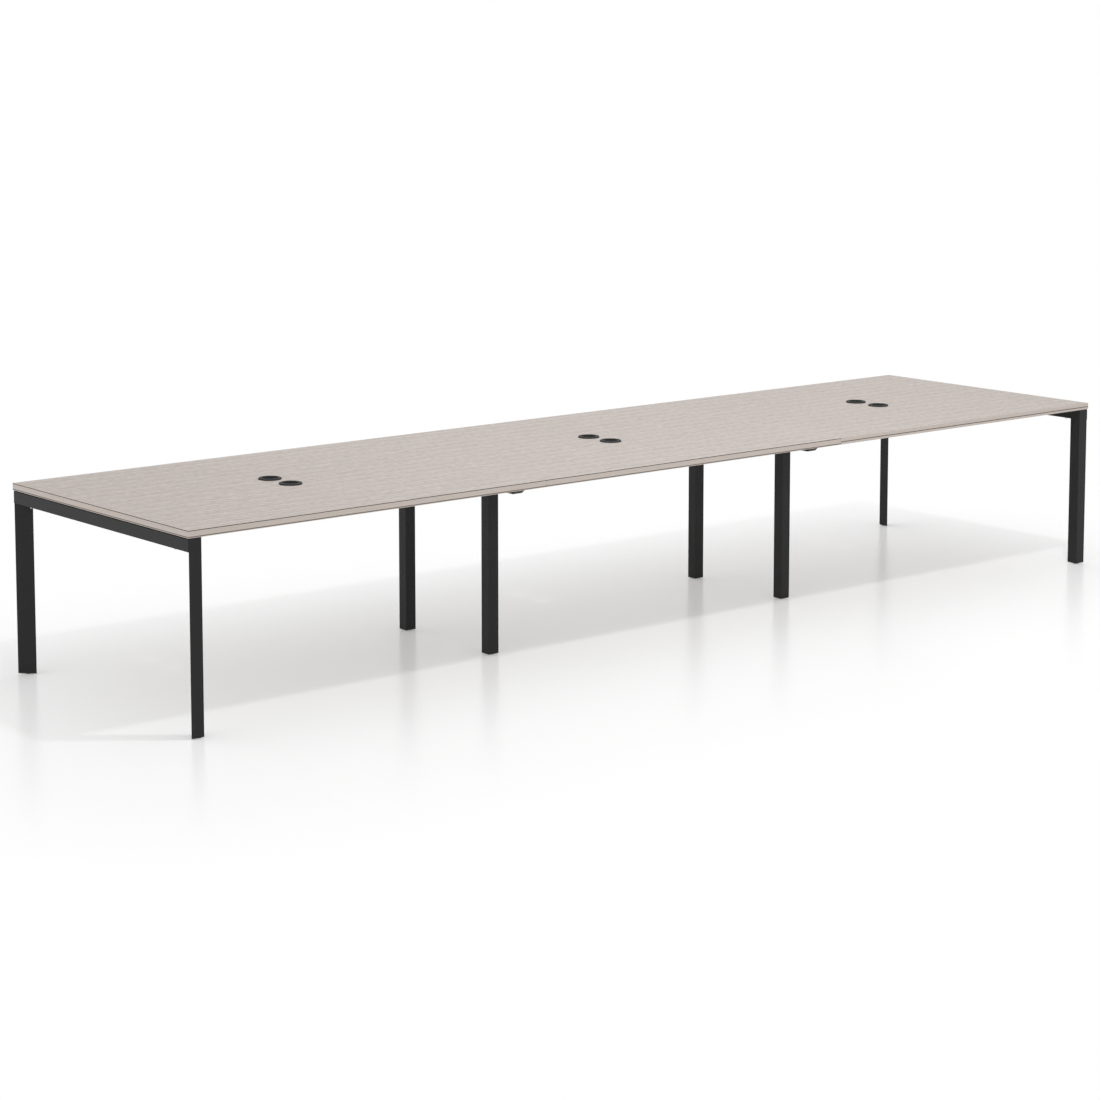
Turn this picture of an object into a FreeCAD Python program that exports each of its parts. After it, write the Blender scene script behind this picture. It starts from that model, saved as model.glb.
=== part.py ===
import FreeCAD, Part
import math
import os
import Sketcher
from types import SimpleNamespace

# A long bench table for several people: three boards butted end to end on a black steel frame.
# X runs along the table, Y from front to back, Z up. The origin is on the floor under the middle.

SECTIONS = ("left", "middle", "right")
ENDS = {"left": -1, "right": 1}
SIDES = {"front": -1, "back": 1}
END_TURN = {"left": 0, "right": 180}
CORNER_TURN = {("left", "front"): 0, ("left", "back"): 90, ("right", "back"): 180, ("right", "front"): 270}

# Driving sizes, in millimetres
SIZES = {
    # Table tops and their edging
    "section_length": 1600,
    "top_depth": 1240,
    "table_height": 740,
    "board_thickness": 28,
    "edging_thickness": 2,
    "edging_round": 1.2,
    "seam_gap": 0.6,
    # Cable grommets
    "grommet_spacing": 140,
    "grommet_hole": 68,
    "grommet_play": 0.3,
    "flange_diameter": 89,
    "flange_rise": 6,
    "flange_round": 3,
    "bore_round": 1.5,
    "sleeve_wall": 2.7,
    "sleeve_depth": 24,
    # Corner legs of triangular tube and the end rails between them
    "frame_inset": 3,
    "corner_leg_side": 53,
    "leg_wall": 2,
    "leg_cap_plate": 4,
    "leg_edge_round": 1,
    "shadow_gap": 4,
    "rail_height": 45,
    "rail_width": 30,
    "rail_wall": 2,
    # Inner legs of square tube and the cross beams on them
    "inner_leg_side": 48,
    "inner_leg_setback": 324,
    "inner_leg_round": 1.5,
    "beam_width": 45,
    "beam_wall": 2,
    "arm_setback": 118,
    "arm_taper": 57,
    "arm_end_wall": 4,
    # Side rails with welded end plates, and the bolts that hold them
    "side_rail_height": 40,
    "side_rail_width": 30,
    "side_rail_wall": 2,
    "end_plate_thickness": 4,
    "end_plate_width": 84,
    "bolt_spacing": 56,
    "bolt_diameter": 8,
    "bolt_hole": 9,
    "bolt_length": 16,
    "bolt_head_across": 13,
    "bolt_head_height": 5.3,
    # Long screws and spacers that hold the boards on the rails
    "top_screw_diameter": 5,
    "top_screw_play": 0.3,
    "top_screw_bite": 14,
    "top_screw_washer": 14,
    "top_screw_washer_height": 1.6,
    "top_screw_head_across": 10,
    "top_screw_head_height": 5,
    "pilot_play": 0.1,
    "pilot_spare_depth": 1,
    "end_screw_setback": 112,
    "rail_screw_inset": 260,
    "spacer_diameter": 18,
    "strip_setback": 4,
    "strip_play": 0.5,
    # Joining plates under the seams, and their screws
    "joining_plate_length": 130,
    "joining_plate_width": 60,
    "joining_plate_spread": 400,
    "joining_screw_reach": 46,
    "joining_screw_pitch": 36,
    "joining_screw_diameter": 4.5,
    "joining_screw_bite": 15,
    "joining_screw_head": 9,
    "joining_screw_head_height": 2.8,
    # Plugs that close the legs, and levelling feet
    "plug_rise": 3,
    "plug_flange": 2,
    "plug_depth": 20,
    "plug_play": 0.2,
    "recess_play": 0.6,
    "foot_stop_gap": 0.3,
    "pad_diameter": 23,
    "pad_height": 5,
    "pad_rim_height": 3,
    "pad_base_bevel": 0.8,
    "pad_top_diameter": 18,
    "pad_seat_gap": 0.2,
    "socket_depth": 3,
    "boss_diameter": 10,
    "foot_running_gap": 0.06,
    "hex_across": 13,
    "hex_height": 4,
    "stud_diameter": 8,
    "stud_length": 36,
    "stud_bevel": 0.8,
}


class Size:
    """A length with its value in millimetres and the formula that ties it to the size sheet."""

    def __init__(self, formula, value):
        self.formula = formula
        self.value = value

    def joined(self, sign, other, value):
        return Size(f"({self.formula} {sign} {other.formula})", value)

    def __add__(self, other):
        other = as_size(other)
        return self.joined("+", other, self.value + other.value)

    def __sub__(self, other):
        other = as_size(other)
        return self.joined("-", other, self.value - other.value)

    def __mul__(self, other):
        other = as_size(other)
        return self.joined("*", other, self.value * other.value)

    def __truediv__(self, other):
        other = as_size(other)
        return self.joined("/", other, self.value / other.value)

    def __rmul__(self, other):
        return as_size(other) * self

    def __neg__(self):
        return as_size(-1) * self


def as_size(value):
    if isinstance(value, Size):
        return value
    return Size(f"({value})", float(value))


doc = FreeCAD.newDocument("BenchTable")
sheet = doc.addObject("Spreadsheet::Sheet", "Sizes")
for row, (name, number) in enumerate(SIZES.items(), start=1):
    sheet.set(f"A{row}", name)
    sheet.set(f"B{row}", str(number))
    sheet.setAlias(f"B{row}", name)
doc.recompute()

mm = SimpleNamespace(**{name: Size(f"Sizes.{name}", float(sheet.get(name))) for name in SIZES})
NOTHING = as_size(0)
ROOT_TWO = Size("sqrt(2)", math.sqrt(2))
ROOT_THREE = Size("sqrt(3)", math.sqrt(3))
UP = FreeCAD.Vector(0, 0, 1)
ALONG_Y = FreeCAD.Vector(0, 1, 0)
CLOSE = 0.001
# How a sketch counts its origin and the points of a line or circle
SKETCH_ORIGIN, START, END, CENTRE = -1, 1, 2, 3

# Places worked out from the driving sizes
half_length = mm.section_length * len(SECTIONS) / 2
half_depth = mm.top_depth / 2
board_underside = mm.table_height - mm.board_thickness
frame_top = board_underside - mm.shadow_gap
frame_bottom = frame_top - mm.rail_height
leg_start = mm.plug_rise + mm.plug_flange
corner_x = half_length - mm.frame_inset
corner_y = half_depth - mm.frame_inset
inner_leg_line = half_depth - mm.inner_leg_setback - mm.inner_leg_side / 2
seam_x = mm.section_length / 2
# The foot of a triangular leg stands at the middle of its inscribed circle
foot_reach = mm.corner_leg_side / (ROOT_TWO + 2)
bolt_line = mm.rail_height - mm.side_rail_height / 2
top_screw_hole = mm.top_screw_diameter / 2 + mm.top_screw_play
plug_bore = mm.stud_diameter / 2 + mm.foot_running_gap
# With the foot screwed right in, its nut and the top of its pad are hidden in the plug
hex_bottom = mm.pad_height + mm.pad_seat_gap
hex_top = hex_bottom + mm.hex_height
plug_recess = hex_top + mm.foot_stop_gap - mm.plug_rise

parts = []


def new_body(label, kept=True):
    body = doc.addObject("PartDesign::Body", label)
    body.Label = label
    if kept:
        parts.append(body)
    return body


def new_group(label, solids):
    group = doc.addObject("Part::Feature", label)
    group.Label = label
    group.Shape = Part.makeCompound(solids)
    parts.append(group)


def place(part, x, y, z, turn=0):
    part.Placement = FreeCAD.Placement(FreeCAD.Vector(), FreeCAD.Rotation(UP, turn))
    for axis, distance in zip("xyz", (x, y, z)):
        part.setExpression(f"Placement.Base.{axis}", as_size(distance).formula)


def copy_at(master, x, y, z, rotation=FreeCAD.Rotation()):
    solid = master.Shape.copy()
    solid.Placement = FreeCAD.Placement(FreeCAD.Vector(x.value, y.value, z.value), rotation)
    return solid


def new_sketch(body, plane_role, offset=NOTHING):
    sketch = body.newObject("Sketcher::SketchObject", "Outline")
    plane = next(feature for feature in body.Origin.OriginFeatures if feature.Role == plane_role)
    sketch.AttachmentSupport = [(plane, "")]
    sketch.MapMode = "FlatFace"
    sketch.setExpression("AttachmentOffset.Base.z", offset.formula)
    return sketch


def fix_point(sketch, geometry, point, x, y):
    for kind, distance in (("DistanceX", x), ("DistanceY", y)):
        constraint = Sketcher.Constraint(kind, SKETCH_ORIGIN, START, geometry, point, distance.value)
        number = sketch.addConstraint(constraint)
        sketch.setExpression(f"Constraints[{number}]", distance.formula)


def draw_polygon(sketch, corners):
    points = [FreeCAD.Vector(x.value, y.value, 0) for x, y in corners]
    lines = []
    for start, end in zip(points, points[1:] + points[:1]):
        lines.append(sketch.addGeometry(Part.LineSegment(start, end), False))
    for line, following in zip(lines, lines[1:] + lines[:1]):
        sketch.addConstraint(Sketcher.Constraint("Coincident", line, END, following, START))
    for line, (x, y) in zip(lines, corners):
        fix_point(sketch, line, START, x, y)


def draw_rectangle(sketch, x_low, x_high, y_low, y_high):
    draw_polygon(sketch, [(x_low, y_low), (x_high, y_low), (x_high, y_high), (x_low, y_high)])


def draw_circle(sketch, x, y, radius):
    centre = FreeCAD.Vector(x.value, y.value, 0)
    circle = sketch.addGeometry(Part.Circle(centre, UP, radius.value), False)
    fix_point(sketch, circle, CENTRE, x, y)
    number = sketch.addConstraint(Sketcher.Constraint("Radius", circle, radius.value))
    sketch.setExpression(f"Constraints[{number}]", radius.formula)


def draw_hexagon(sketch, across_flats):
    half_side = across_flats / ROOT_THREE / 2
    flat = across_flats / 2
    corners = [(half_side * 2, NOTHING), (half_side, flat), (-half_side, flat)]
    draw_polygon(sketch, corners + [(-x, -y) for x, y in corners])


def add_pad(body, sketch, length):
    pad = body.newObject("PartDesign::Pad", "Pad")
    pad.Profile = sketch
    pad.setExpression("Length", length.formula)
    doc.recompute()


def add_turned(body, corners):
    """Turn an outline of radius and height pairs round the body's vertical axis."""
    sketch = new_sketch(body, "XZ_Plane")
    draw_polygon(sketch, corners)
    turned = body.newObject("PartDesign::Revolution", "Turned")
    turned.Profile = sketch
    turned.ReferenceAxis = (sketch, ["V_Axis"])
    doc.recompute()


def cut_pocket(body, sketch, depth=None, against_normal=True):
    """Cut a pocket of the given depth, or right through, and make sure that it cuts."""
    volume_before = body.Shape.Volume
    pocket = body.newObject("PartDesign::Pocket", "Pocket")
    pocket.Profile = sketch
    pocket.Reversed = not against_normal
    if depth is None:
        pocket.Type = "ThroughAll"
    else:
        pocket.setExpression("Length", depth.formula)
    doc.recompute()
    if not body.Shape.Volume < volume_before:
        raise RuntimeError(f"{body.Label}: a pocket cuts nothing")


def round_edges(body, radius, wanted):
    base = body.Tip
    names = [f"Edge{number}" for number, edge in enumerate(base.Shape.Edges, start=1) if wanted(edge)]
    rounding = body.newObject("PartDesign::Fillet", "Rounding")
    rounding.Base = (base, names)
    rounding.setExpression("Radius", radius.formula)
    doc.recompute()


def is_upright(edge):
    start, end = edge.Vertexes[0].Point, edge.Vertexes[-1].Point
    return (end - start).Length > 0 and (end - start).cross(UP).Length < CLOSE


def bay_ends(section):
    """Where the side rails of a section start and end along the table."""
    half_bay = (mm.section_length - mm.beam_width) / 2
    left = section_middle(section) - half_bay
    right = section_middle(section) + half_bay
    if section == SECTIONS[0]:
        left = mm.rail_width - corner_x
    if section == SECTIONS[-1]:
        right = corner_x - mm.rail_width
    return left, right


def section_middle(section):
    return (SECTIONS.index(section) - 1) * mm.section_length


def rail_screw_places():
    """Places of the long screws: two on each end rail and two on each side rail."""
    end_places = []
    side_places = []
    for side in SIDES.values():
        for end in ENDS.values():
            x = end * (corner_x - mm.rail_width / 2)
            end_places.append((x, side * (half_depth - mm.end_screw_setback)))
        for section in SECTIONS:
            left, right = bay_ends(section)
            side_places.append((left + mm.rail_screw_inset, side * inner_leg_line))
            side_places.append((right - mm.rail_screw_inset, side * inner_leg_line))
    return end_places, side_places


def joining_plate_places():
    rows = (-mm.joining_plate_spread, NOTHING, mm.joining_plate_spread)
    return [(end * seam_x, row) for end in ENDS.values() for row in rows]


def joining_screw_offsets():
    return [(x * mm.joining_screw_reach, y * mm.joining_screw_pitch / 2) for x in (-1, 1) for y in (-1, 1)]


def joining_screw_places():
    return [(x + dx, y + dy) for x, y in joining_plate_places() for dx, dy in joining_screw_offsets()]


def triangle(inset):
    """Corners of the corner leg's section, each wall moved in by the inset, round its square corner."""
    reach = mm.corner_leg_side - inset * (ROOT_TWO + 1)
    return [(-inset, inset), (-inset, reach), (-reach, inset)]


def draw_square(sketch, half_side):
    draw_rectangle(sketch, -half_side, half_side, -half_side, half_side)


def make_board(section):
    """Core of one table top, with grommet holes and blind pilot holes in its underside."""
    body = new_body(f"top_board_{section}")
    half_board = (mm.section_length - mm.seam_gap) / 2 - mm.edging_thickness
    half_width = half_depth - mm.edging_thickness
    sketch = new_sketch(body, "XY_Plane")
    draw_rectangle(sketch, -half_board, half_board, -half_width, half_width)
    add_pad(body, sketch, mm.board_thickness)

    sketch = new_sketch(body, "XY_Plane")
    for side in SIDES.values():
        draw_circle(sketch, NOTHING, side * mm.grommet_spacing / 2, mm.grommet_hole / 2)
    cut_pocket(body, sketch, against_normal=False)

    middle = section_middle(section)
    end_places, side_places = rail_screw_places()
    screws = (
        (end_places + side_places, mm.top_screw_diameter, mm.top_screw_bite),
        (joining_screw_places(), mm.joining_screw_diameter, mm.joining_screw_bite),
    )
    for places, diameter, bite in screws:
        sketch = new_sketch(body, "XY_Plane")
        for x, y in places:
            if abs(x.value - middle.value) < half_board.value:
                draw_circle(sketch, x - middle, y, diameter / 2 + mm.pilot_play)
        cut_pocket(body, sketch, bite + mm.pilot_spare_depth, against_normal=False)
    place(body, middle, NOTHING, board_underside)


def make_edging(section):
    """Edging strip glued round one board, with softened outer edges."""
    body = new_body(f"top_edging_{section}")
    half_board = (mm.section_length - mm.seam_gap) / 2
    sketch = new_sketch(body, "XY_Plane")
    draw_rectangle(sketch, -half_board, half_board, -half_depth, half_depth)
    add_pad(body, sketch, mm.board_thickness)
    round_edges(body, mm.edging_round, lambda edge: True)
    sketch = new_sketch(body, "XY_Plane")
    inner_x = half_board - mm.edging_thickness
    inner_y = half_depth - mm.edging_thickness
    draw_rectangle(sketch, -inner_x, inner_x, -inner_y, inner_y)
    cut_pocket(body, sketch, against_normal=False)
    place(body, section_middle(section), NOTHING, board_underside)


def make_grommet(section, side):
    """Open flanged liner pressed into the cable hole, its rim rounded inside and out."""
    flange_radius = mm.flange_diameter / 2
    sleeve_radius = mm.grommet_hole / 2 - mm.grommet_play
    bore_radius = sleeve_radius - mm.sleeve_wall
    ring = new_body(f"grommet_{section}_{side}")
    add_turned(ring, [
        (bore_radius, mm.flange_rise),
        (flange_radius, mm.flange_rise),
        (flange_radius, NOTHING),
        (sleeve_radius, NOTHING),
        (sleeve_radius, -mm.sleeve_depth),
        (bore_radius, -mm.sleeve_depth),
    ])

    def on_top_rim(radius):
        def wanted(edge):
            box = edge.BoundBox
            at_top = abs(box.ZMin - mm.flange_rise.value) < CLOSE and box.ZLength < CLOSE
            return at_top and abs(box.XMax - radius.value) < CLOSE
        return wanted

    round_edges(ring, mm.flange_round, on_top_rim(flange_radius))
    round_edges(ring, mm.bore_round, on_top_rim(bore_radius))
    place(ring, section_middle(section), SIDES[side] * mm.grommet_spacing / 2, mm.table_height)


def make_corner_leg(end, side):
    """Leg of right-angled triangular tube: its sharp outer edge stands at the corner of the table."""
    body = new_body(f"corner_leg_{end}_{side}")
    height = board_underside - leg_start
    sketch = new_sketch(body, "XY_Plane")
    draw_polygon(sketch, triangle(NOTHING))
    add_pad(body, sketch, height)
    round_edges(body, mm.leg_edge_round, is_upright)
    sketch = new_sketch(body, "XY_Plane")
    draw_polygon(sketch, triangle(mm.leg_wall))
    cut_pocket(body, sketch, height - mm.leg_cap_plate, against_normal=False)
    x = ENDS[end] * (corner_x - mm.corner_leg_side)
    place(body, x, SIDES[side] * corner_y, leg_start, CORNER_TURN[end, side])


def make_inner_leg(end, side):
    """Leg of square tube, welded under the cross beam and set in from the long edge."""
    body = new_body(f"inner_leg_{end}_{side}")
    sketch = new_sketch(body, "XY_Plane")
    draw_square(sketch, mm.inner_leg_side / 2)
    add_pad(body, sketch, frame_bottom - leg_start)
    round_edges(body, mm.inner_leg_round, is_upright)
    sketch = new_sketch(body, "XY_Plane")
    draw_square(sketch, mm.inner_leg_side / 2 - mm.leg_wall)
    cut_pocket(body, sketch, against_normal=False)
    place(body, ENDS[end] * seam_x, SIDES[side] * inner_leg_line, leg_start)


def make_end_rail(end):
    """Rectangular tube between two corner legs, mitred to seat on their slanting faces."""
    body = new_body(f"end_rail_{end}")
    sketch = new_sketch(body, "XZ_Plane", -corner_y)
    draw_rectangle(sketch, NOTHING, mm.rail_width, NOTHING, mm.rail_height)
    draw_rectangle(sketch, mm.rail_wall, mm.rail_width - mm.rail_wall,
                   mm.rail_wall, mm.rail_height - mm.rail_wall)
    add_pad(body, sketch, corner_y * 2)

    sketch = new_sketch(body, "XY_Plane")
    for side in SIDES.values():
        tip = side * corner_y
        heel = side * (corner_y - mm.rail_width)
        draw_polygon(sketch, [(NOTHING, tip), (mm.rail_width, heel), (mm.rail_width, tip)])
    cut_pocket(body, sketch, against_normal=False)

    sketch = new_sketch(body, "YZ_Plane", mm.rail_width)
    for side in SIDES.values():
        for shift in (-1, 1):
            hole_line = side * inner_leg_line + shift * mm.bolt_spacing / 2
            draw_circle(sketch, hole_line, bolt_line, mm.bolt_hole / 2)
    cut_pocket(body, sketch, mm.rail_wall * 2)

    sketch = new_sketch(body, "XY_Plane")
    for side in SIDES.values():
        draw_circle(sketch, mm.rail_width / 2, side * (half_depth - mm.end_screw_setback), top_screw_hole)
    cut_pocket(body, sketch, against_normal=False)
    place(body, ENDS[end] * corner_x, NOTHING, frame_bottom, END_TURN[end])


def make_cross_beam(end):
    """Closed beam over two inner legs, whose arms taper to slanting ends short of the long edges."""
    body = new_body(f"cross_beam_{end}")
    top_reach = half_depth - mm.arm_setback
    bottom_reach = top_reach - mm.arm_taper
    sketch = new_sketch(body, "YZ_Plane", -mm.beam_width / 2)
    draw_polygon(sketch, [(-bottom_reach, NOTHING), (bottom_reach, NOTHING),
                          (top_reach, mm.rail_height), (-top_reach, mm.rail_height)])
    add_pad(body, sketch, mm.beam_width)

    # Hollow inside, with the slanting ends closed by welded plates
    wall_share = mm.beam_wall / mm.rail_height
    low_reach = bottom_reach + mm.arm_taper * wall_share - mm.arm_end_wall
    high_reach = top_reach - mm.arm_taper * wall_share - mm.arm_end_wall
    low, high = mm.beam_wall, mm.rail_height - mm.beam_wall
    sketch = new_sketch(body, "YZ_Plane", mm.beam_wall - mm.beam_width / 2)
    draw_polygon(sketch, [(-low_reach, low), (low_reach, low), (high_reach, high), (-high_reach, high)])
    cut_pocket(body, sketch, mm.beam_width - mm.beam_wall * 2, against_normal=False)

    sketch = new_sketch(body, "YZ_Plane", mm.beam_width / 2)
    for side in SIDES.values():
        for shift in (-1, 1):
            hole_line = side * inner_leg_line + shift * mm.bolt_spacing / 2
            draw_circle(sketch, hole_line, bolt_line, mm.bolt_hole / 2)
    cut_pocket(body, sketch)
    place(body, ENDS[end] * seam_x, NOTHING, frame_bottom)


def make_side_rail(section, side):
    """Tube under the board with a drilled plate welded to each end."""
    body = new_body(f"side_rail_{section}_{side}")
    left, right = bay_ends(section)
    length = right - left
    half_plate = mm.end_plate_width / 2
    half_tube = mm.side_rail_width / 2
    tube_length = length - mm.end_plate_thickness * 2
    for start in (NOTHING, length - mm.end_plate_thickness):
        sketch = new_sketch(body, "YZ_Plane", start)
        draw_rectangle(sketch, -half_plate, half_plate, NOTHING, mm.side_rail_height)
        for shift in (-1, 1):
            draw_circle(sketch, shift * mm.bolt_spacing / 2, mm.side_rail_height / 2, mm.bolt_hole / 2)
        add_pad(body, sketch, mm.end_plate_thickness)
        if start is NOTHING:
            sketch = new_sketch(body, "YZ_Plane", mm.end_plate_thickness)
            draw_rectangle(sketch, -half_tube, half_tube, NOTHING, mm.side_rail_height)
            draw_rectangle(sketch, mm.side_rail_wall - half_tube, half_tube - mm.side_rail_wall,
                           mm.side_rail_wall, mm.side_rail_height - mm.side_rail_wall)
            add_pad(body, sketch, tube_length)

    sketch = new_sketch(body, "XY_Plane")
    for along in (mm.rail_screw_inset, length - mm.rail_screw_inset):
        draw_circle(sketch, along, NOTHING, top_screw_hole)
    cut_pocket(body, sketch, against_normal=False)
    place(body, left, SIDES[side] * inner_leg_line, frame_top - mm.side_rail_height)


def make_rail_bolts():
    bolt = new_body("rail_bolt", kept=False)
    sketch = new_sketch(bolt, "XY_Plane", -mm.bolt_head_height)
    draw_hexagon(sketch, mm.bolt_head_across)
    add_pad(bolt, sketch, mm.bolt_head_height)
    sketch = new_sketch(bolt, "XY_Plane")
    draw_circle(sketch, NOTHING, NOTHING, mm.bolt_diameter / 2)
    add_pad(bolt, sketch, mm.bolt_length)
    solids = []
    for section in SECTIONS:
        left, right = bay_ends(section)
        seats = ((left + mm.end_plate_thickness, -90), (right - mm.end_plate_thickness, 90))
        for seat, turn in seats:
            for side in SIDES.values():
                for shift in (-1, 1):
                    line = side * inner_leg_line + shift * mm.bolt_spacing / 2
                    rotation = FreeCAD.Rotation(ALONG_Y, turn)
                    solids.append(copy_at(bolt, seat, line, frame_bottom + bolt_line, rotation))
    new_group("rail_bolts", solids)


def make_top_screw(label, grip):
    """Hexagon screw with a washer face: it grips a rail and a spacer, then bites into the board."""
    screw = new_body(label, kept=False)
    sketch = new_sketch(screw, "XY_Plane", -mm.top_screw_washer_height - mm.top_screw_head_height)
    draw_hexagon(sketch, mm.top_screw_head_across)
    add_pad(screw, sketch, mm.top_screw_head_height)
    sketch = new_sketch(screw, "XY_Plane", -mm.top_screw_washer_height)
    draw_circle(sketch, NOTHING, NOTHING, mm.top_screw_washer / 2)
    add_pad(screw, sketch, mm.top_screw_washer_height)
    sketch = new_sketch(screw, "XY_Plane")
    draw_circle(sketch, NOTHING, NOTHING, mm.top_screw_diameter / 2)
    add_pad(screw, sketch, grip + mm.shadow_gap + mm.top_screw_bite)
    return screw


def make_top_fixings():
    end_screw = make_top_screw("end_rail_screw", mm.rail_height)
    side_screw = make_top_screw("side_rail_screw", mm.side_rail_height)
    spacer = new_body("spacer", kept=False)
    sketch = new_sketch(spacer, "XY_Plane")
    draw_circle(sketch, NOTHING, NOTHING, mm.spacer_diameter / 2)
    draw_circle(sketch, NOTHING, NOTHING, top_screw_hole)
    add_pad(spacer, sketch, mm.shadow_gap)
    end_places, side_places = rail_screw_places()
    screws = [copy_at(end_screw, x, y, frame_bottom) for x, y in end_places]
    screws += [copy_at(side_screw, x, y, frame_top - mm.side_rail_height) for x, y in side_places]
    new_group("top_screws", screws)
    new_group("top_spacers", [copy_at(spacer, x, y, frame_top) for x, y in side_places])


def make_end_rail_strip(end):
    """Flat strip that fills the gap between an end rail and the board, set back from the rail's faces."""
    body = new_body(f"end_rail_strip_{end}")
    near, far = mm.strip_setback, mm.rail_width - mm.strip_setback
    near_reach = corner_y - near - mm.strip_play
    far_reach = corner_y - far - mm.strip_play
    sketch = new_sketch(body, "XY_Plane")
    draw_polygon(sketch, [(near, -near_reach), (far, -far_reach), (far, far_reach), (near, near_reach)])
    for side in SIDES.values():
        draw_circle(sketch, mm.rail_width / 2, side * (half_depth - mm.end_screw_setback), top_screw_hole)
    add_pad(body, sketch, mm.shadow_gap)
    place(body, ENDS[end] * corner_x, NOTHING, frame_top, END_TURN[end])


def make_joining_plates():
    """Flat plates welded on the beams, which carry both boards at a seam, and their screws."""
    plate = new_body("joining_plate", kept=False)
    half_plate = mm.joining_plate_length / 2
    half_width = mm.joining_plate_width / 2
    sketch = new_sketch(plate, "XY_Plane")
    draw_rectangle(sketch, -half_plate, half_plate, -half_width, half_width)
    for x, y in joining_screw_offsets():
        draw_circle(sketch, x, y, mm.joining_screw_diameter / 2 + mm.top_screw_play)
    add_pad(plate, sketch, mm.shadow_gap)
    new_group("joining_plates", [copy_at(plate, x, y, frame_top) for x, y in joining_plate_places()])

    screw = new_body("joining_screw", kept=False)
    sketch = new_sketch(screw, "XY_Plane", -mm.joining_screw_head_height)
    draw_circle(sketch, NOTHING, NOTHING, mm.joining_screw_head / 2)
    add_pad(screw, sketch, mm.joining_screw_head_height)
    sketch = new_sketch(screw, "XY_Plane")
    draw_circle(sketch, NOTHING, NOTHING, mm.joining_screw_diameter / 2)
    add_pad(screw, sketch, mm.shadow_gap + mm.joining_screw_bite)
    new_group("joining_screws", [copy_at(screw, x, y, frame_top) for x, y in joining_screw_places()])


def make_plug(label, draw_outline, outline_round, bore_x, bore_y):
    """Plastic plug: a flange over the tube's end, a spigot inside it, a recess and a bore for the foot."""
    plug = new_body(label, kept=False)
    sketch = new_sketch(plug, "XY_Plane")
    draw_outline(sketch, NOTHING)
    add_pad(plug, sketch, mm.plug_flange)
    round_edges(plug, outline_round, is_upright)
    sketch = new_sketch(plug, "XY_Plane", mm.plug_flange)
    draw_outline(sketch, mm.leg_wall + mm.plug_play)
    add_pad(plug, sketch, mm.plug_depth)
    sketch = new_sketch(plug, "XY_Plane")
    draw_circle(sketch, bore_x, bore_y, mm.pad_diameter / 2 + mm.recess_play)
    cut_pocket(plug, sketch, plug_recess, against_normal=False)
    sketch = new_sketch(plug, "XY_Plane", plug_recess)
    draw_circle(sketch, bore_x, bore_y, plug_bore)
    cut_pocket(plug, sketch, against_normal=False)
    return plug


def make_leg_plugs():
    def outline_corner(sketch, inset):
        draw_polygon(sketch, triangle(inset))

    def outline_square(sketch, inset):
        draw_square(sketch, mm.inner_leg_side / 2 - inset)

    corner_plug = make_plug("corner_plug", outline_corner, mm.leg_edge_round, -foot_reach, foot_reach)
    inner_plug = make_plug("inner_plug", outline_square, mm.inner_leg_round, NOTHING, NOTHING)
    corner_solids = []
    inner_solids = []
    for end, toward_end in ENDS.items():
        for side, toward_side in SIDES.items():
            turn = FreeCAD.Rotation(UP, CORNER_TURN[end, side])
            x = toward_end * (corner_x - mm.corner_leg_side)
            corner_solids.append(copy_at(corner_plug, x, toward_side * corner_y, mm.plug_rise, turn))
            x = toward_end * seam_x
            inner_solids.append(copy_at(inner_plug, x, toward_side * inner_leg_line, mm.plug_rise))
    new_group("corner_leg_plugs", corner_solids)
    new_group("inner_leg_plugs", inner_solids)


def make_foot(leg, x, y):
    """Levelling foot: a pad on the floor and a threaded stud that turns in the pad's socket."""
    pad_radius = mm.pad_diameter / 2
    socket_radius = mm.boss_diameter / 2 + mm.foot_running_gap
    socket_floor = mm.pad_height - mm.socket_depth
    pad = new_body(f"foot_pad_{leg}")
    add_turned(pad, [
        (NOTHING, NOTHING),
        (pad_radius - mm.pad_base_bevel, NOTHING),
        (pad_radius, mm.pad_base_bevel),
        (pad_radius, mm.pad_rim_height),
        (mm.pad_top_diameter / 2, mm.pad_height),
        (socket_radius, mm.pad_height),
        (socket_radius, socket_floor),
        (NOTHING, socket_floor),
    ])
    place(pad, x, y, NOTHING)

    boss_bottom = socket_floor + mm.pad_seat_gap
    stud_top = hex_top + mm.stud_length
    stud_radius = mm.stud_diameter / 2
    stud = new_body(f"foot_stud_{leg}")
    add_turned(stud, [
        (NOTHING, boss_bottom),
        (mm.boss_diameter / 2, boss_bottom),
        (mm.boss_diameter / 2, hex_bottom),
        (stud_radius, hex_bottom),
        (stud_radius, stud_top - mm.stud_bevel),
        (stud_radius - mm.stud_bevel, stud_top),
        (NOTHING, stud_top),
    ])
    sketch = new_sketch(stud, "XY_Plane", hex_bottom)
    draw_hexagon(sketch, mm.hex_across)
    add_pad(stud, sketch, mm.hex_height)
    place(stud, x, y, NOTHING)


for section in SECTIONS:
    make_board(section)
    make_edging(section)
    for side in SIDES:
        make_grommet(section, side)
        make_side_rail(section, side)

for end, toward_end in ENDS.items():
    make_end_rail(end)
    make_end_rail_strip(end)
    make_cross_beam(end)
    for side, toward_side in SIDES.items():
        make_corner_leg(end, side)
        make_inner_leg(end, side)
        foot_x = toward_end * (corner_x - mm.corner_leg_side + foot_reach)
        make_foot(f"corner_{end}_{side}", foot_x, toward_side * (corner_y - foot_reach))
        make_foot(f"inner_{end}_{side}", toward_end * seam_x, toward_side * inner_leg_line)

make_rail_bolts()
make_top_fixings()
make_joining_plates()
make_leg_plugs()
doc.recompute()

for item in doc.Objects:
    if "Invalid" in item.State or "Error" in item.State:
        raise RuntimeError(f"{item.Label} failed: {item.State}")
for part in parts:
    if part.Shape.isNull() or not part.Shape.isValid():
        raise RuntimeError(f"{part.Label} has no valid shape")

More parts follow.
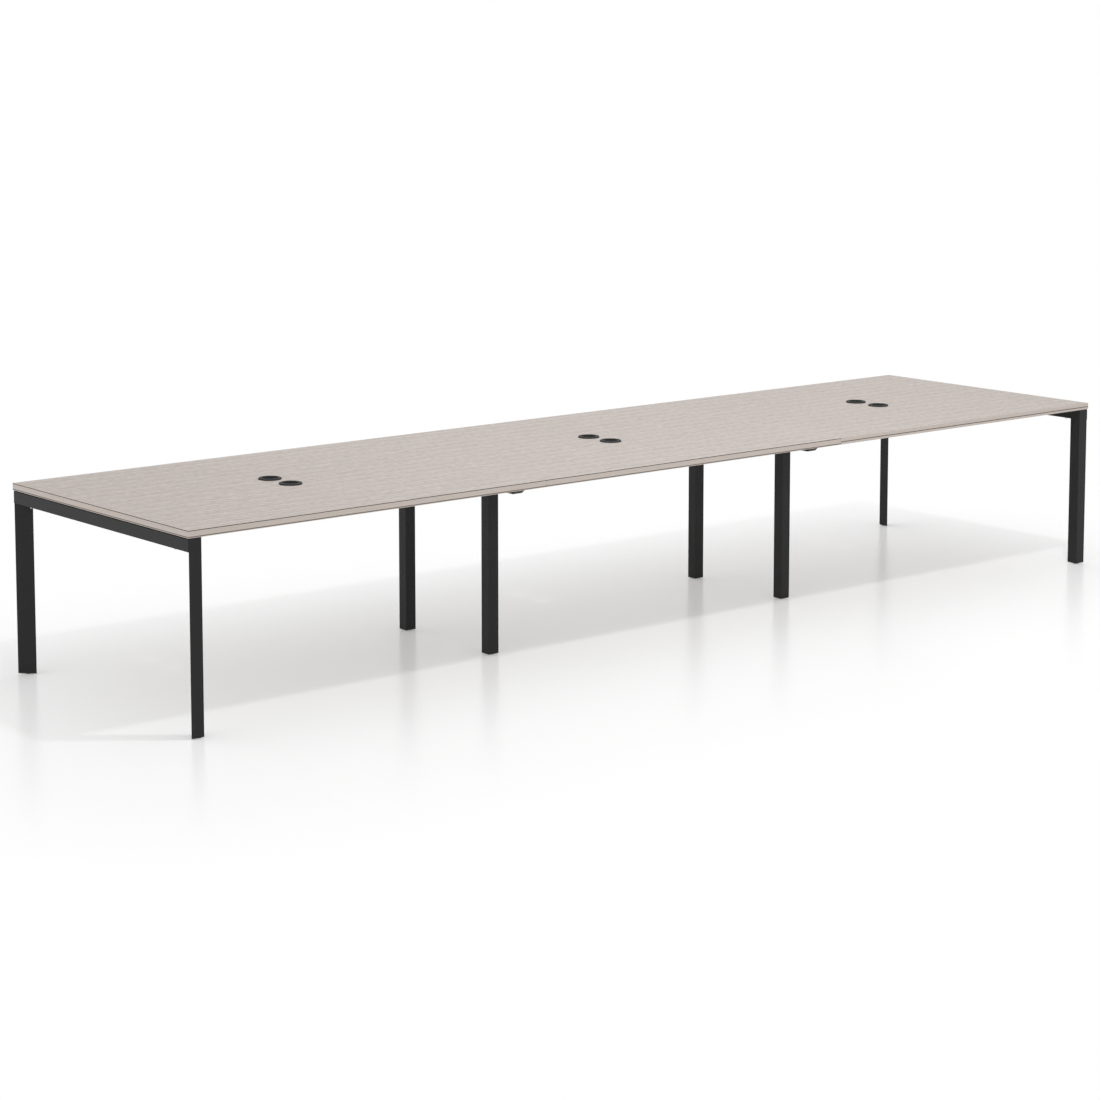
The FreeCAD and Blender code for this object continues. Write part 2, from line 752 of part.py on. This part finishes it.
os.makedirs("parts", exist_ok=True)
for part in parts:
    part.Shape.exportStep(f"parts/{part.Label}.step")
print(f"{len(parts)} parts written")
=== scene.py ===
import math

import bpy
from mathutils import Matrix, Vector


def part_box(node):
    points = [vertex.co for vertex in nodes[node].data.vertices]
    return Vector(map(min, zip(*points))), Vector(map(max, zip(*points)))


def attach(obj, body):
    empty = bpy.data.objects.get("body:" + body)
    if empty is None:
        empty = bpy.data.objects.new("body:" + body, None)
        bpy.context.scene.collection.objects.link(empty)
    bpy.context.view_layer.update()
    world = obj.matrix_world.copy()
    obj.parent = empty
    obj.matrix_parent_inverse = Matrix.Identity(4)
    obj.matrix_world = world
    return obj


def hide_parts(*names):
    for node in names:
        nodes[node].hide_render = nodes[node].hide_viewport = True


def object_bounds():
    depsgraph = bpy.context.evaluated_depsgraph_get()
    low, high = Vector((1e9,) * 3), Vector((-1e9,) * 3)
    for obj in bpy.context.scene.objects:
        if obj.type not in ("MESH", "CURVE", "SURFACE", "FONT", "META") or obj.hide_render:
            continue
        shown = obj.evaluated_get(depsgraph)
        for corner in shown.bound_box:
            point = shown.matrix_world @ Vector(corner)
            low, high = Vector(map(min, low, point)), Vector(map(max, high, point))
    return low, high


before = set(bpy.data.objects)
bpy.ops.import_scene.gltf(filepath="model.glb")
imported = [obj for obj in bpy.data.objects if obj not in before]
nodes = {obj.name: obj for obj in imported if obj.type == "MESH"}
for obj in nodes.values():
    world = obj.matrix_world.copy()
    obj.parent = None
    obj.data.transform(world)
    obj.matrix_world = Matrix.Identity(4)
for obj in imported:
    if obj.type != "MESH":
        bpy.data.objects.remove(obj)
cad_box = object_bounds()
scene = bpy.context.scene

MM = 0.001

# The view of the photograph, taken as a square picture. Angles are in degrees, lens and sensor in mm.
CAMERA_PLACE = (-7.3584, -8.5678, 2.5359)
CAMERA_PITCH = -6.753
CAMERA_YAW = 39.608
CAMERA_LENS = 89.634
CAMERA_SENSOR = 36.0
CAMERA_SHIFT = -0.2
CAMERA_REACH = 300.0

# The studio: one small lamp in front of the table, a broad soft one behind it, and a soft sky
# that is brighter towards the left end.
KEY_PLACE = (0.18, -2.65, 5.37)
KEY_AIM = (0.0, 0.0, 0.3)
KEY_SIZE = 0.45
KEY_POWER = 72.0
SOFT_PLACE = (4.0, 4.5, 4.5)
SOFT_AIM = (0.3, 0.0, 0.4)
SOFT_SIZE = (6.0, 3.0)
SOFT_POWER = 56.0
SKY_LIGHT = 0.72
SKY_LEAN = -0.30
SKY_SEEN = 1.0

# The floor, which fades into plain white between two distances from the table.
FLOOR_REACH = (80.0, 80.0)
FLOOR_MIDDLE = (20.0, 20.0)
FLOOR_LEVEL = -0.0005
FLOOR_COLOUR = (0.80, 0.80, 0.80)
FLOOR_GLOW = 0.24
FLOOR_BOUNCE = (0.88, 0.88, 0.88)
FLOOR_FADE = (0.0, 1.6)

# Colours are linear.
WHITE = (1.0, 1.0, 1.0)
BOARD_COLOUR = (0.534, 0.476, 0.438)
EDGE_COLOUR = (0.620, 0.550, 0.500)
EDGE_LINE_AND_SHADE_COLOUR = (0.060, 0.046, 0.040)
PAINT_COLOUR = (0.0185, 0.0187, 0.0187)
GROMMET_COLOUR = (0.040, 0.042, 0.042)
FOOT_COLOUR = (0.014, 0.014, 0.015)
# Near black for the strips in the gap under the end rails: painted shade, so the gap shows as a dark
# line.
GAP_SHADE_COLOUR = (0.004, 0.004, 0.004)
ZINC_COLOUR = (0.76, 0.77, 0.79)
ZINC_WARM_COLOUR = (0.62, 0.60, 0.52)

# Most of a noise lies in the first span, and nearly all of it in the second.
NOISE_SPAN = (0.3, 0.7)
WIDE_SPAN = (0.25, 0.75)

# The board's decor: lines along the table that repeat across it and are offset from board to board.
# A wave is given by its depth and its phase in degrees; they have one, two and three turns a repeat.
BOARD_LENGTH = 1600.0 * MM
LINE_REPEAT = 78.6 * MM
LINE_OFFSET = 0.372
LINE_WANDER = 0.03
LINE_WAVES = ((0.036, -77.0), (0.046, 107.0), (0.066, 28.0))
BREAK_SPAN = (0.35, 0.65)
BREAK_SHARE = (0.2, 1.1)
DASH_DEPTH = 0.120
FIBRE_DEPTH = 0.045
PORE_SPAN = (0.58, 0.66)
PORE_DEPTH = 0.10
BOARD_CLOUD_DEPTH = 0.010

# The dark lines of the edging: height above the floor, half width and strength.
UPPER_LINE = (738.0 * MM, 1.4 * MM, 0.95)
# The lower line is painted shade: a dark band along the rounded bottom arris of the edging.
LOWER_SHADE_LINE = (716.2 * MM, 1.7 * MM, 0.84)
SINGLE_LINE = (723.5 * MM, 1.6 * MM, 0.95)
LINE_WAVER = 0.3 * MM
LINE_SOFTNESS = 0.4
SPECK_DEPTH = 0.012

# The paint: scuffs fade out between two heights above the floor.
PEEL_DEPTH = 0.16
SCUFF_HEIGHTS = (0.02, 0.16)
SCUFF_SPAN = (0.62, 0.72)
SCUFF_SHARE = (0.0, 0.5)
SCUFF_ROUGHNESS = 0.3
RIPPLE_SHARE = 1.5

# The foot's stud with its real thread, in the place of the plain stud of the CAD model.
RING_POINTS = 24
BOSS_RADIUS = 5.0 * MM
BOSS_HEIGHT = 3.0 * MM
HEX_SIDES = 6
HEX_ACROSS = 13.0 * MM
HEX_HEIGHT = 4.0 * MM
HEX_BEVEL = 0.4 * MM
STUD_RADIUS = 4.0 * MM
STUD_BEVEL = 0.8 * MM
STUD_SHARP_ANGLE = 28.0
THREAD_PITCH = 1.25 * MM
THREAD_DEPTH = 0.72 * MM
THREAD_FLAT = 0.125
THREAD_ROWS = 6


class NodeTree:
    """A node tree under construction: most calls add nodes and give back an output."""

    def __init__(self, tree, coordinates):
        self.tree = tree
        self.place = self.add("ShaderNodeTexCoord").outputs[coordinates]

    def add(self, kind, **settings):
        node = self.tree.nodes.new(kind)
        for key, value in settings.items():
            setattr(node, key, value)
        return node

    def feed(self, socket, value):
        """Links an output to the socket, or sets a plain value on it."""
        if hasattr(value, "is_output"):
            self.tree.links.new(value, socket)
        else:
            socket.default_value = value

    def calc(self, kind, *values):
        node = self.add("ShaderNodeMath", operation=kind)
        for socket, value in zip(node.inputs, values):
            self.feed(socket, value)
        return node.outputs[0]

    def total(self, first, *others):
        for other in others:
            first = self.calc("ADD", first, other)
        return first

    def part(self, axis):
        """One coordinate of the place."""
        node = self.add("ShaderNodeSeparateXYZ")
        self.feed(node.inputs[0], self.place)
        return node.outputs[axis]

    def seen_by_eye(self):
        """One for rays that come from the camera, from gloss or through glass."""
        path = self.add("ShaderNodeLightPath")
        seen = self.calc("MAXIMUM", path.outputs["Is Camera Ray"], path.outputs["Is Glossy Ray"])
        return self.calc("MAXIMUM", seen, path.outputs["Is Transmission Ray"])


class Shader(NodeTree):
    """A procedural material under construction."""

    def __init__(self, name):
        self.material = bpy.data.materials.new(name)
        self.material.use_nodes = True
        super().__init__(self.material.node_tree, "Object")
        self.surface = self.tree.nodes["Principled BSDF"]

    def set(self, name, value):
        self.feed(self.surface.inputs[name], value)

    def noise(self, scale=1.0, detail=2.0, rough=0.5, twist=0.0, stretch=None):
        """Noise with so many waves a metre, or with a number of its own along each axis."""
        place = self.place
        if stretch:
            mapping = self.add("ShaderNodeMapping")
            self.feed(mapping.inputs["Vector"], place)
            self.feed(mapping.inputs["Scale"], stretch)
            place = mapping.outputs[0]
        node = self.add("ShaderNodeTexNoise")
        for name, value in (("Vector", place), ("Scale", scale), ("Detail", detail),
                            ("Roughness", rough), ("Distortion", twist)):
            self.feed(node.inputs[name], value)
        return node.outputs[0]

    def remap(self, value, old, new, kind="LINEAR"):
        """The value, moved from the old span to the new one."""
        node = self.add("ShaderNodeMapRange", interpolation_type=kind)
        for socket, number in zip(node.inputs, (value, *old, *new)):
            self.feed(socket, number)
        return node.outputs[0]

    def swing(self, noise, depth, span=NOISE_SPAN):
        """A noise that goes from minus depth to plus depth."""
        return self.remap(noise, span, (-depth, depth))

    def mix(self, share, first, second):
        """A colour between two others, by the mix node's colour sockets."""
        node = self.add("ShaderNodeMix", data_type="RGBA")
        self.feed(node.inputs[0], share)
        for socket, colour in ((node.inputs[6], first), (node.inputs[7], second)):
            self.feed(socket, colour if hasattr(colour, "is_output") else (*colour, 1.0))
        return node.outputs[2]

    def tone(self, colour, factor):
        """The colour times a grey factor."""
        node = self.add("ShaderNodeVectorMath", operation="SCALE")
        self.feed(node.inputs[0], colour)
        self.feed(node.inputs["Scale"], factor)
        return node.outputs[0]

    def bump(self, height, depth, strength):
        node = self.add("ShaderNodeBump")
        for name, value in (("Strength", strength), ("Distance", depth), ("Height", height)):
            self.feed(node.inputs[name], value)
        self.set("Normal", node.outputs[0])

    def blend(self, share, first, second):
        """A shader between two others."""
        node = self.add("ShaderNodeMixShader")
        for socket, value in zip(node.inputs, (share, first, second)):
            self.feed(socket, value)
        return node.outputs[0]

    def line_at(self, value, middle, half_width):
        """One on a thin line, zero a little away from it."""
        away = self.calc("ABSOLUTE", self.calc("SUBTRACT", value, middle))
        border = (half_width * (1.0 - LINE_SOFTNESS), half_width * (1.0 + LINE_SOFTNESS))
        return self.remap(away, border, (1.0, 0.0))


def decor_waves(shader):
    """The lengthwise lines of the board's decor; the finest of them are broken into dashes."""
    board = shader.calc("ROUND", shader.calc("DIVIDE", shader.part("X"), BOARD_LENGTH))
    turns = shader.total(
        shader.calc("DIVIDE", shader.part("Y"), LINE_REPEAT),
        shader.calc("MULTIPLY", board, LINE_OFFSET),
        shader.swing(shader.noise(stretch=(1.3, 9.0, 1.0)), LINE_WANDER))
    waves = []
    for order, (depth, phase) in enumerate(LINE_WAVES, 1):
        angle = shader.calc("MULTIPLY", turns, math.tau * order)
        angle = shader.calc("ADD", angle, math.radians(phase))
        waves.append(shader.calc("MULTIPLY", shader.calc("COSINE", angle), depth))
    broken = shader.noise(detail=1.0, stretch=(30.0, 45.0, 1.0))
    waves[-1] = shader.calc("MULTIPLY", waves[-1], shader.remap(broken, BREAK_SPAN, BREAK_SHARE))
    return waves


def make_board_material():
    """Wood-look laminate: lengthwise lines and dashes, with fine grain and pores."""
    shader = Shader("board_laminate")
    grain = shader.noise(detail=4.0, rough=0.7, stretch=(5.0, 140.0, 1.0))
    dash = shader.noise(rough=0.6, stretch=(36.0, 84.0, 1.0))
    fibres = shader.noise(detail=3.0, rough=0.7, stretch=(60.0, 1400.0, 200.0))
    pores = shader.noise(rough=0.6, stretch=(38.0, 900.0, 1.0))
    pores = shader.remap(pores, PORE_SPAN, (0.0, 1.0))
    cloud = shader.noise(scale=2.2)
    tone = shader.total(
        shader.remap(grain, NOISE_SPAN, (0.92, 1.08)),
        *decor_waves(shader),
        shader.swing(dash, DASH_DEPTH),
        shader.swing(fibres, FIBRE_DEPTH, WIDE_SPAN),
        shader.calc("MULTIPLY", pores, -PORE_DEPTH),
        shader.swing(cloud, BOARD_CLOUD_DEPTH))
    shader.set("Base Color", shader.tone(BOARD_COLOUR, tone))
    shader.set("Roughness", shader.remap(grain, WIDE_SPAN, (0.56, 0.68)))
    shader.set("Specular IOR Level", 0.30)
    height = shader.calc("SUBTRACT", shader.calc("ADD", fibres, grain), pores)
    shader.bump(height, depth=0.10 * MM, strength=0.5)
    return shader.material


def make_edge_material(name, lines):
    """Glued edging: drag marks and thin dark lines; the lowest is painted shade of the bottom arris.
    """
    shader = Shader(name)
    drag = shader.noise(detail=3.0, rough=0.6, stretch=(9.0, 9.0, 900.0))
    speck = shader.noise(scale=420.0)
    waver = shader.noise(stretch=(7.0, 7.0, 1.0))
    level = shader.calc("ADD", shader.part("Z"), shader.swing(waver, LINE_WAVER))
    dark = 0.0
    for middle, half_width, strength in lines:
        line = shader.calc("MULTIPLY", shader.line_at(level, middle, half_width), strength)
        dark = shader.calc("MAXIMUM", dark, line)
    tone = shader.total(
        shader.remap(drag, NOISE_SPAN, (0.955, 1.045)),
        shader.swing(speck, SPECK_DEPTH))
    plain = shader.tone(EDGE_COLOUR, tone)
    # The dark lines go into the colour; the one at the bottom arris is painted shade.
    shader.set("Base Color", shader.mix(dark, plain, EDGE_LINE_AND_SHADE_COLOUR))
    shader.set("Roughness", shader.remap(drag, WIDE_SPAN, (0.50, 0.62)))
    shader.set("Specular IOR Level", 0.30)
    shader.bump(drag, depth=0.06 * MM, strength=0.5)
    return shader.material


def make_paint_material():
    """Black powder coat: orange-peel skin, faint colour drift, scuffs near the floor."""
    shader = Shader("black_powder_coat")
    peel = shader.noise(scale=900.0, rough=0.55)
    ripple = shader.noise(scale=140.0)
    drift = shader.noise(scale=5.0, detail=3.0, rough=0.6)
    scratch = shader.noise(detail=3.0, rough=0.65, stretch=(260.0, 260.0, 34.0))
    low = shader.remap(shader.part("Z"), SCUFF_HEIGHTS, (1.0, 0.0))
    scuff = shader.calc("MULTIPLY", shader.remap(scratch, SCUFF_SPAN, SCUFF_SHARE), low)
    tone = shader.total(
        shader.remap(drift, NOISE_SPAN, (0.90, 1.10)),
        shader.swing(peel, PEEL_DEPTH),
        scuff)
    shader.set("Base Color", shader.tone(PAINT_COLOUR, tone))
    rough = shader.total(
        shader.remap(peel, NOISE_SPAN, (0.42, 0.52)),
        shader.calc("MULTIPLY", scuff, SCUFF_ROUGHNESS))
    shader.set("Roughness", rough)
    shader.set("Specular IOR Level", 0.22)
    height = shader.total(peel, shader.calc("MULTIPLY", ripple, RIPPLE_SHARE))
    shader.bump(height, depth=0.14 * MM, strength=0.8)
    return shader.material


def make_plastic_material(name, colour, rough, specular):
    """Moulded black plastic: fine spark texture, soft flow marks and dusty patches."""
    shader = Shader(name)
    spark = shader.noise(scale=1600.0, rough=0.6)
    flow = shader.noise(scale=28.0, detail=3.0, twist=0.8)
    dust = shader.noise(scale=60.0, detail=3.0, rough=0.6)
    tone = shader.total(
        shader.remap(flow, NOISE_SPAN, (0.88, 1.12)),
        shader.remap(dust, (0.55, 0.8), (0.0, 0.35)))
    shader.set("Base Color", shader.tone(colour, tone))
    shader.set("Roughness", shader.remap(spark, NOISE_SPAN, (rough - 0.05, rough + 0.06)))
    shader.set("Specular IOR Level", specular)
    shader.bump(spark, depth=0.03 * MM, strength=0.6)
    return shader.material


def make_zinc_material():
    """Zinc plated steel: cloudy grey-blue film with warmer patches, and fine drag lines."""
    shader = Shader("zinc_plate")
    cloud = shader.noise(scale=90.0, detail=3.0, rough=0.6)
    film = shader.noise(scale=24.0)
    drag = shader.noise(stretch=(180.0, 180.0, 2600.0))
    warmth = shader.remap(film, (0.4, 0.65), (0.0, 0.35))
    colour = shader.mix(warmth, ZINC_COLOUR, ZINC_WARM_COLOUR)
    shader.set("Base Color", shader.tone(colour, shader.remap(cloud, NOISE_SPAN, (0.86, 1.10))))
    shader.set("Metallic", 1.0)
    shader.set("Roughness", shader.remap(drag, NOISE_SPAN, (0.28, 0.44)))
    shader.bump(drag, depth=0.02 * MM, strength=0.5)
    return shader.material


def make_floor_material():
    """Pale studio floor that keeps the shadow and a faint gloss, seen nearly white by the camera."""
    shader = Shader("studio_floor")
    cloud = shader.noise(scale=0.7)
    tone = shader.remap(cloud, NOISE_SPAN, (0.997, 1.003))
    shader.set("Base Color", shader.tone(FLOOR_COLOUR, tone))
    shader.set("Roughness", shader.remap(cloud, NOISE_SPAN, (0.20, 0.22)))
    shader.set("Specular IOR Level", 0.045)
    glow = shader.add("ShaderNodeEmission")
    glow.inputs["Strength"].default_value = FLOOR_GLOW
    near = shader.add("ShaderNodeAddShader")
    shader.feed(near.inputs[0], shader.surface.outputs[0])
    shader.feed(near.inputs[1], glow.outputs[0])

    # Away from the table the floor runs out into plain white.
    outside = []
    for axis, half in (("X", cad_box[1][0]), ("Y", cad_box[1][1])):
        beyond = shader.calc("SUBTRACT", shader.calc("ABSOLUTE", shader.part(axis)), half)
        outside.append(shader.calc("POWER", shader.calc("MAXIMUM", beyond, 0.0), 2.0))
    distance = shader.calc("SQRT", shader.total(*outside))
    fade = shader.remap(distance, FLOOR_FADE, (0.0, 1.0), "SMOOTHSTEP")
    white = shader.add("ShaderNodeEmission")
    seen = shader.blend(fade, near.outputs[0], white.outputs[0])

    bounce = shader.add("ShaderNodeBsdfDiffuse")
    bounce.inputs["Color"].default_value = (*FLOOR_BOUNCE, 1.0)
    both = shader.blend(shader.seen_by_eye(), bounce.outputs[0], seen)
    shader.feed(shader.tree.nodes["Material Output"].inputs["Surface"], both)
    return shader.material


def dress(prefixes, material):
    """Gives the material to every CAD node whose name starts with one of the prefixes."""
    for name, node in nodes.items():
        if name.startswith(prefixes):
            node.data.materials.clear()
            node.data.materials.append(material)


def dress_all(zinc):
    """Dresses every CAD node. Plugs and strips are named after legs and rails, so they come later."""
    dress(("top_board",), make_board_material())
    dress(("top_edging_left", "top_edging_middle"),
          make_edge_material("edging_two_lines", [UPPER_LINE, LOWER_SHADE_LINE]))
    dress(("top_edging_right",), make_edge_material("edging_one_line", [SINGLE_LINE]))
    dress(("corner_leg", "inner_leg", "end_rail", "cross_beam", "side_rail", "joining_plates"),
          make_paint_material())
    dress(("grommet",),
          make_plastic_material("grommet_plastic", GROMMET_COLOUR, rough=0.6, specular=0.07))
    dress(("corner_leg_plugs", "inner_leg_plugs", "foot_pad", "top_spacers"),
          make_plastic_material("foot_plastic", FOOT_COLOUR, rough=0.5, specular=0.4))
    # The strips between end rail and board are near black: painted shade of the gap.
    dress(("end_rail_strip",),
          make_plastic_material("strip_painted_shade", GAP_SHADE_COLOUR, rough=0.9, specular=0.05))
    dress(("rail_bolts", "top_screws", "joining_screws", "foot_stud"), zinc)


def hexagon_reach(turn):
    """From the middle of the hexagon to its outline, with a corner at the start of the turn."""
    side = math.tau / HEX_SIDES
    from_flat = turn % side - side / 2
    return HEX_ACROSS / 2 / math.cos(from_flat)


def thread_reach(turn, rise, length):
    """From the stud's middle line to its skin: a right-hand thread that runs out at both ends."""
    place = (rise / THREAD_PITCH - turn / math.tau) % 1.0
    groove = (abs(place - 0.5) * 2 - THREAD_FLAT) / (1.0 - 2 * THREAD_FLAT)
    groove = min(max(groove, 0.0), 1.0)
    run_out = min(rise / THREAD_PITCH, 1.0)
    reach = STUD_RADIUS - THREAD_DEPTH * groove * run_out
    return min(reach, STUD_RADIUS - STUD_BEVEL + max(length - rise, 0.0))


def make_stud_mesh(height, material):
    """One closed skin from the boss in the pad up to the end of the stud, as rings of points."""
    turns = [math.tau * index / RING_POINTS for index in range(RING_POINTS)]
    hex_bottom = BOSS_HEIGHT
    hex_top = hex_bottom + HEX_HEIGHT
    length = height - hex_top
    boss = [BOSS_RADIUS] * RING_POINTS
    hexagon = [hexagon_reach(turn) for turn in turns]
    rings = [
        (0.0, boss),
        (hex_bottom, boss),
        (hex_bottom, hexagon),
        (hex_top - HEX_BEVEL, hexagon),
        (hex_top, [min(reach, HEX_ACROSS / 2) for reach in hexagon]),
    ]
    rows = round(length / THREAD_PITCH * THREAD_ROWS)
    for row in range(rows + 1):
        rise = length * row / rows
        rings.append((hex_top + rise, [thread_reach(turn, rise, length) for turn in turns]))

    points = []
    for level, reaches in rings:
        for turn, reach in zip(turns, reaches):
            points.append((reach * math.cos(turn), reach * math.sin(turn), level))
    faces = [tuple(reversed(range(RING_POINTS)))]
    for ring in range(len(rings) - 1):
        for index in range(RING_POINTS):
            here = ring * RING_POINTS + index
            beside = ring * RING_POINTS + (index + 1) % RING_POINTS
            faces.append((here, beside, beside + RING_POINTS, here + RING_POINTS))
    faces.append(tuple(range((len(rings) - 1) * RING_POINTS, len(rings) * RING_POINTS)))

    mesh = bpy.data.meshes.new("threaded_stud")
    mesh.from_pydata(points, [], faces)
    mesh.shade_smooth()
    mesh.set_sharp_from_angle(angle=math.radians(STUD_SHARP_ANGLE))
    mesh.materials.append(material)
    return mesh


def make_studs(material):
    """A threaded stud in the place of each plain one, all with the same mesh."""
    mesh = None
    for name in sorted(nodes):
        if not name.startswith("foot_stud"):
            continue
        low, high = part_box(name)
        mesh = mesh or make_stud_mesh(high[2] - low[2], material)
        stud = bpy.data.objects.new(name.replace("foot_stud", "threaded_stud"), mesh)
        stud.location = ((low[0] + high[0]) / 2, (low[1] + high[1]) / 2, low[2])
        scene.collection.objects.link(stud)
        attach(stud, name)
        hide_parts(name)


def make_floor():
    """One large square, a little below the feet."""
    corners = []
    for x, y in ((-1, -1), (1, -1), (1, 1), (-1, 1)):
        corners.append((FLOOR_MIDDLE[0] + x * FLOOR_REACH[0],
                        FLOOR_MIDDLE[1] + y * FLOOR_REACH[1],
                        FLOOR_LEVEL))
    mesh = bpy.data.meshes.new("floor")
    mesh.from_pydata(corners, [], [(0, 1, 2, 3)])
    mesh.materials.append(make_floor_material())
    floor = bpy.data.objects.new("floor", mesh)
    scene.collection.objects.link(floor)


def make_lamp(name, place, aim, size, power):
    """An area lamp: a disk of one size, or a rectangle of two."""
    lamp = bpy.data.lights.new(name, "AREA")
    lamp.energy = power
    if isinstance(size, tuple):
        lamp.shape = "RECTANGLE"
        lamp.size, lamp.size_y = size
    else:
        lamp.shape = "DISK"
        lamp.size = size
    holder = bpy.data.objects.new(name, lamp)
    holder.location = place
    holder.rotation_euler = (Vector(aim) - Vector(place)).to_track_quat("-Z", "Y").to_euler()
    scene.collection.objects.link(holder)


def make_sky():
    """White where it is seen; as light, a soft sky that leans towards the left end."""
    world = bpy.data.worlds.new("studio")
    world.use_nodes = True
    sky = NodeTree(world.node_tree, "Generated")
    light = sky.calc("MULTIPLY_ADD", sky.part("X"), SKY_LEAN, SKY_LIGHT)
    strength = sky.add("ShaderNodeMix")
    sky.feed(strength.inputs[0], sky.seen_by_eye())
    sky.feed(strength.inputs[2], light)
    sky.feed(strength.inputs[3], SKY_SEEN)
    back = sky.tree.nodes["Background"]
    sky.feed(back.inputs["Color"], (*WHITE, 1.0))
    sky.feed(back.inputs["Strength"], strength.outputs[0])
    scene.world = world


def make_camera():
    lens = bpy.data.cameras.new("camera")
    lens.lens = CAMERA_LENS
    lens.sensor_width = CAMERA_SENSOR
    lens.sensor_fit = "HORIZONTAL"
    lens.shift_y = CAMERA_SHIFT
    lens.clip_end = CAMERA_REACH
    holder = bpy.data.objects.new("camera", lens)
    holder.location = CAMERA_PLACE
    holder.rotation_euler = (math.radians(90.0 + CAMERA_PITCH), 0.0, math.radians(-CAMERA_YAW))
    scene.collection.objects.link(holder)
    scene.camera = holder


zinc_plate = make_zinc_material()
dress_all(zinc_plate)
make_studs(zinc_plate)
make_floor()
make_lamp("key_lamp", KEY_PLACE, KEY_AIM, KEY_SIZE, KEY_POWER)
make_lamp("soft_lamp", SOFT_PLACE, SOFT_AIM, SOFT_SIZE, SOFT_POWER)
make_sky()
make_camera()
scene.view_settings.view_transform = "Standard"
